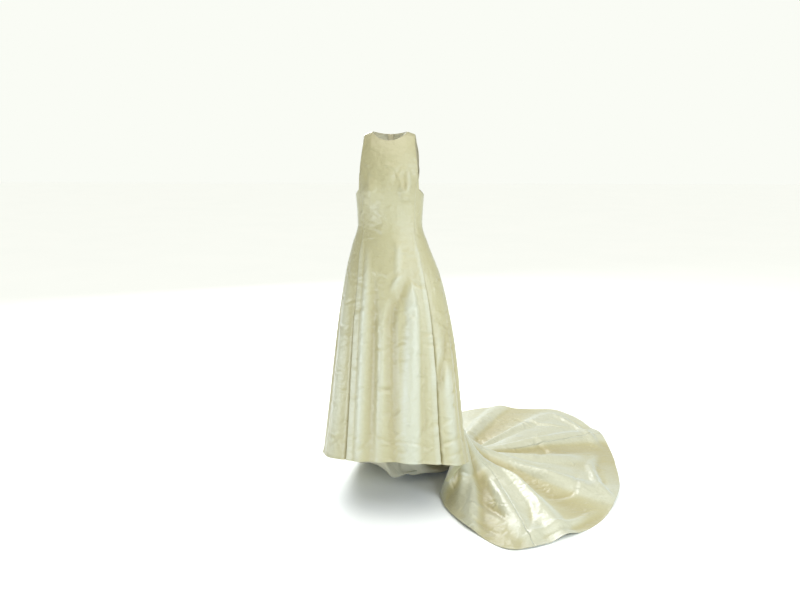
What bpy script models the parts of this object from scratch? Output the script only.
"""Sleeveless princess-line satin wedding gown with a train, built from the panels its maker sews.

Every panel is a wall of cloth taken from one surface. A point of that surface has a place round
the body, in degrees from the centre front towards the viewer's right, and a level, which counts the
stations of the tables from the bust (-2) through the waist (0) to the hem (6). Levels from -2
down to -3 climb from the bust line over the shoulders.

The frame: x to the viewer's right, y from front to back, z up, in metres. The origin lies between
the shoulder straps, where the wearer holds the gown up, and the floor is STAND below it.
"""

import math
from collections import namedtuple
from functools import lru_cache

import bmesh
import bpy
import numpy as np

STAND = 1.45  # shoulders over the floor
CLOTH = 0.002  # satin with its underlining
SEAM_GAP = 0.0003
DOWN = (0.0, 0.0, -1.0)

# Sections of the gown, all round the body above the knee and in front below it.
# front_seam is the side-front seam's place, as a share of the half width.
Section = namedtuple("Section", "name height half_width front back shift front_seam pleat")
SECTIONS = (
    Section("bust", 1.245, 0.1285, 0.109, 0.102, 0.000, 0.782, 0.000),
    Section("under bust", 1.190, 0.1245, 0.102, 0.096, 0.000, 0.780, 0.000),
    Section("waist", 1.115, 0.1215, 0.096, 0.090, 0.000, 0.790, 0.000),
    Section("high hip", 1.040, 0.1425, 0.106, 0.112, 0.001, 0.690, 0.004),
    Section("hip", 0.932, 0.1765, 0.124, 0.146, 0.009, 0.630, 0.013),
    Section("thigh", 0.768, 0.2120, 0.142, 0.178, 0.016, 0.625, 0.023),
    Section("knee", 0.575, 0.2400, 0.157, 0.212, 0.019, 0.615, 0.030),
    Section("calf", 0.380, 0.2660, 0.168, 0.240, 0.020, 0.600, 0.034),
    Section("hem", 0.240, 0.2870, 0.176, 0.260, 0.021, 0.590, 0.036),
)
BUST_LEVEL = -2
HEM_LEVEL = BUST_LEVEL + len(SECTIONS) - 1
HEM_DROP_RIGHT = 0.050  # the side corners hang lower than the centre front
HEM_DROP_LEFT = 0.022

# Places round the body, in degrees.
FRONT_SEAM = 40
SIDE_SEAM = 90
BACK_SEAM = 140
CENTER_BACK = 180

# The back below the knee. "fall" is where the cloth comes down, and "hem" is the train's edge.
Rail = namedtuple("Rail", "deg fall_x fall_y fall_z hem_x hem_y hem_z")
TRAIN = (
    Rail(98, 0.268, 0.055, 0.280, 0.262, 0.060, 0.120),
    Rail(106, 0.248, 0.105, 0.180, 0.196, 0.112, 0.004),
    Rail(116, 0.276, 0.115, 0.100, 0.216, -0.010, 0.002),
    Rail(126, 0.325, 0.140, 0.085, 0.318, -0.230, 0.002),
    Rail(136, 0.365, 0.180, 0.085, 0.462, -0.375, 0.002),
    Rail(146, 0.395, 0.240, 0.085, 0.655, -0.275, 0.002),
    Rail(156, 0.410, 0.305, 0.085, 0.825, -0.090, 0.002),
    Rail(166, 0.405, 0.370, 0.085, 0.950, 0.270, 0.002),
    Rail(176, 0.370, 0.415, 0.085, 0.985, 0.690, 0.002),
    Rail(186, 0.300, 0.395, 0.070, 0.915, 1.040, 0.002),
    Rail(196, 0.215, 0.325, 0.048, 0.760, 1.260, 0.002),
    Rail(206, 0.130, 0.250, 0.034, 0.510, 1.290, 0.002),
    Rail(218, 0.045, 0.212, 0.030, 0.240, 1.140, 0.002),
    Rail(230, -0.040, 0.218, 0.045, 0.020, 0.880, 0.002),
    Rail(242, -0.120, 0.222, 0.092, -0.120, 0.610, 0.002),
    Rail(254, -0.190, 0.178, 0.132, -0.192, 0.400, 0.040),
    Rail(262, -0.224, 0.098, 0.205, -0.226, 0.190, 0.130),
)

# Flutes of the back skirt that run out into the train: place, reach to each side, height.
Flute = namedtuple("Flute", "deg reach height")
FLUTES = (
    Flute(121, 9, 0.010),
    Flute(143, 10, 0.016),
    Flute(164, 10, 0.018),
    Flute(190, 13, 0.032),
    Flute(213, 12, 0.020),
    Flute(234, 11, 0.015),
)
# Share of a flute's height at each level from the bust to the hem.
FLUTE_GROWTH = (0, 0, 0, 0.05, 0.15, 0.35, 0.60, 1.0, 0.30)

# Bust
APEX_X = 0.072
APEX_HEIGHT = 1.243
APEX_FULL = 0.017
APEX_WIDE = 0.030
APEX_TALL = 0.040

# Neck and shoulders
NECK_HALF_WIDTH = 0.064
NECK_FRONT = 0.058
NECK_BACK = 0.050
NECK_SIDE_HEIGHT = 1.455
SHOULDER_SLOPE = 0.35
STRAP_END = 0.094
NECK_SHARE = NECK_HALF_WIDTH / STRAP_END
FRONT_ROUND = 2.0
BACK_ROUND = 3.0

# Half width of the front and the back at the armhole, by the share of the climb to the shoulder.
Edge = namedtuple("Edge", "climb half_width")
FRONT_EDGE = (
    Edge(0, 0.1005),
    Edge(0.33, 0.1070),
    Edge(0.60, 0.1020),
    Edge(0.85, 0.0955),
    Edge(1, STRAP_END),
)
BACK_EDGE = (
    Edge(0, 0.0826),
    Edge(0.42, 0.1060),
    Edge(0.65, 0.1050),
    Edge(0.88, 0.0970),
    Edge(1, STRAP_END),
)
FRONT_JOIN = -2.214  # level where the side-front seam meets the armhole
BACK_JOIN = -2.276
UNDERARM = -1.62
ARMHOLE_ROUND = 1.7

# Zip
ZIP_SLOT = 0.0024
ZIP_END = 1.6  # level of its foot, over the hip
TAPE_HALF_WIDTH = 0.009
TAPE = 0.001
TAPE_CLEAR = 0.0008
SLIDER_LEVEL = -2.80
SLIDER_CLEAR = 0.0005
SLIDER_SIZE = (0.0070, 0.0090, 0.0016)  # across, along the zip, thick
SLIDER_BELOW = 0.0025  # how far the slider reaches below the tab's axis
AXIS_OVER_SLIDER = 0.0010
BAIL_INNER = 0.0009
BAIL_WALL = 0.0009
BAIL_WIDTH = 0.0016
TAB_SIZE = (0.0052, 0.0200, 0.0008)
TAB_HOLE = (0.0028, 0.0032)
TAB_LEAN = math.radians(4)

# Columns of each panel round the body, and rows down it.
FRONT_SHARES = (0, 0.22, 0.45, 0.62, NECK_SHARE, 0.80, 0.92, 1)
SIDE_SHARES = (0, 0.08, 0.30, 0.55, 0.80, 1)
BACK_SIDE_COLUMNS = (90, 98, 106, 113, 120, 127, 134, BACK_SEAM)
BACK_CENTER_COLUMNS = (BACK_SEAM, 147, 154.1, 161, 168, 174, CENTER_BACK)
SKIRT_ROWS = (0, 0.5, 1, 1.5, 2, 2.5, 3, 3.5, 4, 4.35, 4.7, 5, 5.12, 5.26, 5.42, 5.58, 5.74, 5.88, 6)
BODICE_ROWS = (-2, -1.6, -1.2, -0.8, -0.4)
FRONT_YOKE_ROWS = (-3, -2.8, -2.6, -2.4, FRONT_JOIN, -2.107)
BACK_YOKE_ROWS = (-3, -2.82, -2.63, -2.45, BACK_JOIN, -2.138)

SATIN = (0.74, 0.70, 0.54)
METAL = (0.72, 0.70, 0.64)


def curve(knots, values, at, start=None):
    """Value of the smooth curve through the knots. start is its slope at the first one."""
    knots = np.asarray(knots, float)
    values = np.asarray(values, float)
    step = np.diff(knots)
    slope = (np.diff(values, axis=0).T / step).T
    before, after = slope[:-1], slope[1:]
    turns = before * after <= 0
    safe_before = np.where(turns, 1, before)
    safe_after = np.where(turns, 1, after)
    weight_a = (2 * step[1:] + step[:-1]).reshape((-1,) + (1,) * (values.ndim - 1))
    weight_b = (step[1:] + 2 * step[:-1]).reshape(weight_a.shape)
    mean = (weight_a + weight_b) / (weight_a / safe_before + weight_b / safe_after)
    first = slope[:1] if start is None else [start]
    tangent = np.concatenate([first, np.where(turns, 0, mean), slope[-1:]])
    k = int(np.clip(np.searchsorted(knots, at) - 1, 0, len(step) - 1))
    t = (at - knots[k]) / step[k]
    return (
        values[k] * (2 * t**3 - 3 * t**2 + 1)
        + values[k + 1] * (3 * t**2 - 2 * t**3)
        + step[k] * (tangent[k] * (t**3 - 2 * t**2 + t) + tangent[k + 1] * (t**3 - t**2))
    )


def signed(deg):
    """The place as degrees to the right (positive) or left of the centre front."""
    return (deg + 180) % 360 - 180


def angle_at(section, deg):
    """True angle of a place on a section: the panels of the front widen at their own rates."""
    place = signed(deg)
    side = math.copysign(1, place)
    seam = math.asin(section.front_seam)
    if abs(place) <= FRONT_SEAM:
        return math.asin(section.front_seam * place / FRONT_SEAM)
    if abs(place) <= SIDE_SEAM:
        share = (abs(place) - FRONT_SEAM) / (SIDE_SEAM - FRONT_SEAM)
        return side * (seam + share * (math.pi / 2 - seam))
    return math.radians(place)


def on_section(section, deg):
    angle = angle_at(section, deg)
    depth = section.front if math.cos(angle) > 0 else section.back
    drop = 0.0
    if section.name in ("calf", "hem"):
        drop = (HEM_DROP_RIGHT if angle > 0 else HEM_DROP_LEFT) * math.sin(angle) ** 2
    x = section.shift + section.half_width * math.sin(angle)
    return (x, -depth * math.cos(angle), section.height - drop)


def train_rows():
    """The places and points of the fall and the hem, from side seam to side seam."""
    places = [SIDE_SEAM] + [rail.deg for rail in TRAIN] + [360 - SIDE_SEAM]
    rows = []
    for section, get in (
        (SECTIONS[-2], lambda rail: (rail.fall_x, rail.fall_y, rail.fall_z)),
        (SECTIONS[-1], lambda rail: (rail.hem_x, rail.hem_y, rail.hem_z)),
    ):
        inner = [get(rail) for rail in TRAIN]
        rows.append([on_section(section, SIDE_SEAM)] + inner + [on_section(section, -SIDE_SEAM)])
    return places, rows


TRAIN_PLACES, TRAIN_LOOPS = train_rows()


@lru_cache(maxsize=None)
def rail(deg):
    """Points of one place at every station, with their distance along the cloth."""
    points = [on_section(section, deg) for section in SECTIONS]
    if abs(signed(deg)) > SIDE_SEAM:
        for index, loop in enumerate(TRAIN_LOOPS):
            points[index - 2] = tuple(curve(TRAIN_PLACES, loop, deg % 360))
    points = np.array(points)
    steps = np.linalg.norm(np.diff(points, axis=0), axis=1)
    return np.concatenate([[0], np.cumsum(steps)]), points


def flute_rise(deg, level):
    growth = np.interp(level, range(BUST_LEVEL, HEM_LEVEL + 1), FLUTE_GROWTH)
    rise = 0.0
    for flute in FLUTES:
        off = abs(signed(deg) % 360 - flute.deg) / flute.reach
        if off < 1:
            rise += flute.height * math.cos(off * math.pi / 2) ** 2
    return growth * rise


def pleat_depth(deg, level):
    """Depth of the unpressed pleat at the side-front seams."""
    depth = np.interp(level, range(BUST_LEVEL, HEM_LEVEL + 1), [s.pleat for s in SECTIONS])
    off = abs(signed(deg)) - FRONT_SEAM
    reach = (SIDE_SEAM - FRONT_SEAM) * SIDE_SHARES[1] if off > 0 else FRONT_SEAM * (1 - FRONT_SHARES[-2])
    return depth * max(0.0, 1 - abs(off) / reach)


def edge_half_width(table, climb):
    return float(curve([edge.climb for edge in table], [edge.half_width for edge in table], climb))


def yoke(deg, rise):
    """Point over the bust line. rise goes from 0 there to 1 at the neck edge or the shoulder seam."""
    base = rail(deg)[1][0]
    place = abs(signed(deg))
    front = place <= SIDE_SEAM
    edge, roundness, neck = (
        (FRONT_EDGE, FRONT_ROUND, NECK_FRONT) if front else (BACK_EDGE, BACK_ROUND, NECK_BACK)
    )
    seam = FRONT_SEAM if front else BACK_SEAM
    share = abs(base[0]) / edge[0].half_width
    climb = 1.0
    if share < NECK_SHARE:
        neck_y = neck * math.sqrt(1 - (share / NECK_SHARE) ** 2)
        climb = (1 - (neck_y / abs(base[1])) ** roundness) ** (1 / roundness)
    up = math.sin(rise * math.asin(climb))
    widen = edge_half_width(edge, up) - edge[0].half_width
    if share > 1:
        widen *= (SIDE_SEAM - place) / (SIDE_SEAM - seam)
        x = base[0] + math.copysign(widen, base[0])
    else:
        x = base[0] * (1 + widen / edge[0].half_width)
    shoulder = NECK_SIDE_HEIGHT - SHOULDER_SLOPE * max(0.0, abs(x) - NECK_HALF_WIDTH)
    y = base[1] * max(0.0, 1 - up**roundness) ** (1 / roundness)
    return np.array([x, y, base[2] + up * (shoulder - base[2])])


def bare(deg, level):
    """Point of the surface before the bust and the folds."""
    if level <= BUST_LEVEL:
        return yoke(deg, BUST_LEVEL - level)
    along, points = rail(deg)
    at = np.interp(level, range(BUST_LEVEL, HEM_LEVEL + 1), along)
    return curve(along, points, at, start=DOWN)


def direction(point_at, deg, level, low=-360, high=360):
    """Unit outward direction, from points between two places."""
    step_deg, step_level = 0.4, 0.02
    left, right = max(low, deg - step_deg), min(high, deg + step_deg)
    up, down = max(-3, level - step_level), min(HEM_LEVEL, level + step_level)
    across = point_at(right, level) - point_at(left, level)
    along = point_at(deg, down) - point_at(deg, up)
    normal = np.cross(along, across)
    return normal / np.linalg.norm(normal)


def surface(deg, level):
    """Point of the gown's outer face."""
    point = bare(deg, level)
    place = abs(signed(deg))
    out = 0.0
    if place < SIDE_SEAM and level < 0:
        wide = (abs(point[0]) - APEX_X) / APEX_WIDE
        tall = (point[2] - APEX_HEIGHT) / APEX_TALL
        point[1] -= APEX_FULL * math.exp(-(wide**2) - tall**2)
    if level > 0:
        out = flute_rise(deg, level) - pleat_depth(deg, level)
    if out:
        point = point + out * direction(bare, deg, level)
    point[2] = max(point[2], CLOTH)
    return point


def down_the_cloth(deg, level):
    """Unit direction down the cloth at a point of the surface."""
    step = 0.02
    along = surface(deg, min(HEM_LEVEL, level + step)) - surface(deg, max(-3, level - step))
    return along / np.linalg.norm(along)


def away_from_seam(deg, level, normal):
    """Unit direction in the cloth, square to the line down it, towards higher places."""
    return np.cross(normal, down_the_cloth(deg, level))


def half_gap(kind, level):
    """Half the space at a panel's edge: the zip's slot, or a sewn seam."""
    if kind == "zip" and level <= ZIP_END:
        return ZIP_SLOT / 2
    return SEAM_GAP / 2


def wall(rows, low_edge, high_edge):
    """Outer and inner points of a panel. rows holds (deg, level) pairs."""
    outer, inner = [], []
    for line in rows:
        outer_line, inner_line = [], []
        last = len(line) - 1
        for index, (deg, level) in enumerate(line):
            folded = level > 0
            low = deg if folded and low_edge == "pleat" and index == 0 else -360
            high = deg if folded and high_edge == "pleat" and index == last else 360
            point = surface(deg, level)
            normal = direction(surface, deg, level, low, high)
            across = away_from_seam(deg, level, normal)
            if index == 0:
                point = point + across * half_gap(low_edge, level)
            if index == last:
                point = point - across * half_gap(high_edge, level)
            if level == -3 and abs(point[1]) < SEAM_GAP:
                point[1] = math.copysign(SEAM_GAP / 2, -math.cos(math.radians(deg)))
            outer_line.append(point)
            inner_line.append(point - normal * CLOTH)
        outer.append(outer_line)
        inner.append(inner_line)
    return outer, inner


def closed_mesh(name, outer, inner):
    """Mesh of a wall with its rim, from rows of outer and inner points."""
    bm = bmesh.new()
    sides = []
    for lines in (outer, inner):
        sides.append([[bm.verts.new((p[0], p[1], p[2] - STAND)) for p in line] for line in lines])
    rows, columns = len(outer), len(outer[0])
    for r in range(rows - 1):
        for c in range(columns - 1):
            cell = ((r, c), (r + 1, c), (r + 1, c + 1), (r, c + 1))
            falling = np.linalg.norm(outer[r][c] - outer[r + 1][c + 1])
            rising = np.linalg.norm(outer[r + 1][c] - outer[r][c + 1])
            # Both faces of the wall take the same, shorter diagonal, so that they never meet.
            first = 0 if falling < rising else 1
            for side, order in zip(sides, (1, -1)):
                for turn in ((0, 1, 2), (0, 2, 3)):
                    corners = [side[i][j] for i, j in (cell[(first + k) % 4] for k in turn)]
                    bm.faces.new(corners[::order])
    border = [(r, 0) for r in range(rows)] + [(rows - 1, c) for c in range(1, columns)]
    border += [(r, columns - 1) for r in range(rows - 2, -1, -1)]
    border += [(0, c) for c in range(columns - 2, 0, -1)]
    for start, end in zip(border, border[1:] + border[:1]):
        rim = [sides[s][r][c] for s, (r, c) in ((0, end), (0, start), (1, start), (1, end))]
        # The rims of both panels at a seam take the same diagonal, so that they stay parallel.
        first = 0 if end > start else 1
        bm.faces.new((rim[first], rim[first + 1], rim[first + 2]))
        bm.faces.new((rim[first], rim[first + 2], rim[(first + 3) % 4]))
    bmesh.ops.recalc_face_normals(bm, faces=bm.faces)
    mesh = bpy.data.meshes.new(name)
    bm.to_mesh(mesh)
    bm.free()
    return mesh


def add_object(name, mesh, colour, roughness, metallic=0.0):
    material = bpy.data.materials.new(name)
    material.use_nodes = True
    shader = material.node_tree.nodes["Principled BSDF"]
    shader.inputs["Base Color"].default_value = (*colour, 1)
    shader.inputs["Roughness"].default_value = roughness
    shader.inputs["Metallic"].default_value = metallic
    mesh.materials.append(material)
    mesh.shade_smooth()
    mesh.set_sharp_from_angle(angle=math.radians(35))
    body = bpy.data.objects.new(name, mesh)
    bpy.context.collection.objects.link(body)
    return body


def add_panel(name, rows, low_edge="seam", high_edge="seam"):
    outer, inner = wall(rows, low_edge, high_edge)
    add_object(name, closed_mesh(name, outer, inner), SATIN, 0.38)


def front_center():
    places = [-FRONT_SEAM * share for share in FRONT_SHARES[:0:-1]]
    places += [FRONT_SEAM * share for share in FRONT_SHARES]
    levels = FRONT_YOKE_ROWS + BODICE_ROWS + SKIRT_ROWS
    rows = [[(deg, level) for deg in places] for level in levels]
    add_panel("front_center", rows, low_edge="pleat", high_edge="pleat")


def side_rows(shares, seam, join, yoke_rows):
    """Rows of a side panel. Its top edge is the lower armhole, from the seam to the underarm."""
    at_seam = [level for level in yoke_rows if level >= join] + list(BODICE_ROWS)
    lines = []
    for index, level in enumerate(at_seam):
        at_side = UNDERARM * (1 - index / len(at_seam))
        line = []
        for share in shares:
            falls = (1 - share) ** ARMHOLE_ROUND
            line.append((seam + share * (SIDE_SEAM - seam), at_side + (level - at_side) * falls))
        lines.append(line)
    for level in SKIRT_ROWS:
        lines.append([(seam + share * (SIDE_SEAM - seam), level) for share in shares])
    return lines


def mirrored(lines):
    """The same rows on the other side, from low to high place."""
    return [[(-deg, level) for deg, level in line[::-1]] for line in lines]


def side_panels():
    front = side_rows(SIDE_SHARES, FRONT_SEAM, FRONT_JOIN, FRONT_YOKE_ROWS)
    shares = [(BACK_SEAM - deg) / (BACK_SEAM - SIDE_SEAM) for deg in BACK_SIDE_COLUMNS[::-1]]
    back = [line[::-1] for line in side_rows(shares, BACK_SEAM, BACK_JOIN, BACK_YOKE_ROWS)]
    add_panel("front_side_r", front, low_edge="pleat")
    add_panel("front_side_l", mirrored(front), high_edge="pleat")
    add_panel("back_side_r", back)
    add_panel("back_side_l", mirrored(back))


def back_centers():
    levels = BACK_YOKE_ROWS + BODICE_ROWS + SKIRT_ROWS
    rows = [[(deg, level) for deg in BACK_CENTER_COLUMNS] for level in levels]
    add_panel("back_center_r", rows, high_edge="zip")
    add_panel("back_center_l", mirrored(rows), low_edge="zip")


def zip_tape():
    outer, inner = [], []
    levels = [level for level in BACK_YOKE_ROWS + BODICE_ROWS + SKIRT_ROWS if level < ZIP_END]
    for level in levels + [ZIP_END]:
        point = surface(CENTER_BACK, level)
        normal = direction(surface, CENTER_BACK, level)
        behind = point - normal * (CLOTH + TAPE_CLEAR)
        edges = []
        for next_column in (BACK_CENTER_COLUMNS[-2], CENTER_BACK, 2 * CENTER_BACK - BACK_CENTER_COLUMNS[-2]):
            chord = surface(next_column, level) - point
            share = TAPE_HALF_WIDTH / max(np.linalg.norm(chord), TAPE_HALF_WIDTH)
            edges.append(behind + chord * share)
        outer.append(edges)
        inner.append([edge - normal * TAPE for edge in edges])
    add_object("zip_tape", closed_mesh("zip_tape", outer, inner), SATIN, 0.6)


def box(size, middle):
    """Mesh of a box in the zip's own axes: x across, y down the zip, z out of the cloth."""
    bm = bmesh.new()
    bmesh.ops.create_cube(bm, size=1)
    bmesh.ops.scale(bm, vec=size, verts=bm.verts)
    bmesh.ops.translate(bm, vec=middle, verts=bm.verts)
    return bm


def bail():
    """Half ring round the tab's axis, with straight feet that enter the slider."""
    radii = (BAIL_INNER, BAIL_INNER + BAIL_WALL)
    foot = -AXIS_OVER_SLIDER - SLIDER_SIZE[2] / 2
    angles = [math.pi * step / 10 for step in range(11)]
    outer = [(radii[1] * math.cos(a), radii[1] * math.sin(a)) for a in angles]
    inner = [(radii[0] * math.cos(a), radii[0] * math.sin(a)) for a in angles[::-1]]
    outline = [(radii[1], foot)] + outer + [(-radii[1], foot), (-radii[0], foot)] + inner
    outline += [(radii[0], foot)]
    bm = bmesh.new()
    side = bm.faces.new([bm.verts.new((-BAIL_WIDTH / 2, y, z)) for y, z in outline])
    pushed = bmesh.ops.extrude_face_region(bm, geom=[side])["geom"]
    tops = [item for item in pushed if isinstance(item, bmesh.types.BMVert)]
    bmesh.ops.translate(bm, vec=(BAIL_WIDTH, 0, 0), verts=tops)
    bmesh.ops.recalc_face_normals(bm, faces=bm.faces)
    return bm


def zip_axis():
    """The tab's axis and the zip's axes there, as a matrix in the gown's frame."""
    point = surface(CENTER_BACK, SLIDER_LEVEL)
    normal = direction(surface, CENTER_BACK, SLIDER_LEVEL)
    normal[0] = 0
    normal /= np.linalg.norm(normal)
    down = np.array([0, normal[2], -normal[1]])
    height = SLIDER_CLEAR + SLIDER_SIZE[2] + AXIS_OVER_SLIDER
    place = point + normal * height
    place[0] = 0
    place[2] -= STAND
    across = np.cross(down, normal)
    matrix = np.eye(4)
    matrix[:3, 0], matrix[:3, 1], matrix[:3, 2], matrix[:3, 3] = across, down, normal, place
    return matrix


def mesh_of(bm, name):
    mesh = bpy.data.meshes.new(name)
    bm.to_mesh(mesh)
    bm.free()
    return mesh


def with_cutter(body, bm, operation):
    """Joins or cuts the body with a hidden shape in the same axes."""
    cutter = bpy.data.objects.new(body.name + "_" + operation.lower(), mesh_of(bm, "cutter"))
    bpy.context.collection.objects.link(cutter)
    cutter.matrix_world = body.matrix_world
    cutter.hide_render = True
    cutter.display_type = "WIRE"
    modifier = body.modifiers.new(operation, "BOOLEAN")
    modifier.operation = operation
    modifier.object = cutter


def slider_and_tab():
    matrix = zip_axis()
    across, along, thick = SLIDER_SIZE
    middle = (0, SLIDER_BELOW - along / 2, -AXIS_OVER_SLIDER - thick / 2)
    body = box(SLIDER_SIZE, middle)
    slider = add_object("zip_slider", mesh_of(body, "zip_slider"), METAL, 0.3, 1.0)
    slider.matrix_world = matrix.T.tolist()
    with_cutter(slider, bail(), "UNION")
    width, length, tab_thick = TAB_SIZE
    plate = box(TAB_SIZE, (0, length / 2 - tab_thick / 2, 0))
    ends = [e for e in plate.edges if e.verts[0].co.y > 0 and e.verts[1].co.y > 0]
    corners = [e for e in ends if abs(e.verts[0].co.z - e.verts[1].co.z) > tab_thick / 2]
    rounding = {"offset": width * 0.35, "segments": 4, "profile": 0.5, "affect": "EDGES"}
    bmesh.ops.bevel(plate, geom=corners, material=-1, **rounding)
    tab = add_object("pull_tab", mesh_of(plate, "pull_tab"), METAL, 0.3, 1.0)
    lean = np.eye(4)
    lean[1, 1] = lean[2, 2] = math.cos(TAB_LEAN)
    lean[2, 1] = -math.sin(TAB_LEAN)
    lean[1, 2] = math.sin(TAB_LEAN)
    tab.matrix_world = (matrix @ lean).T.tolist()
    hole = box((*TAB_HOLE, tab_thick * 3), (0, tab_thick / 2 + TAB_HOLE[1] / 2, 0))
    with_cutter(tab, hole, "DIFFERENCE")


def build():
    for old in list(bpy.data.objects):
        bpy.data.objects.remove(old)
    front_center()
    side_panels()
    back_centers()
    zip_tape()
    slider_and_tab()


build()
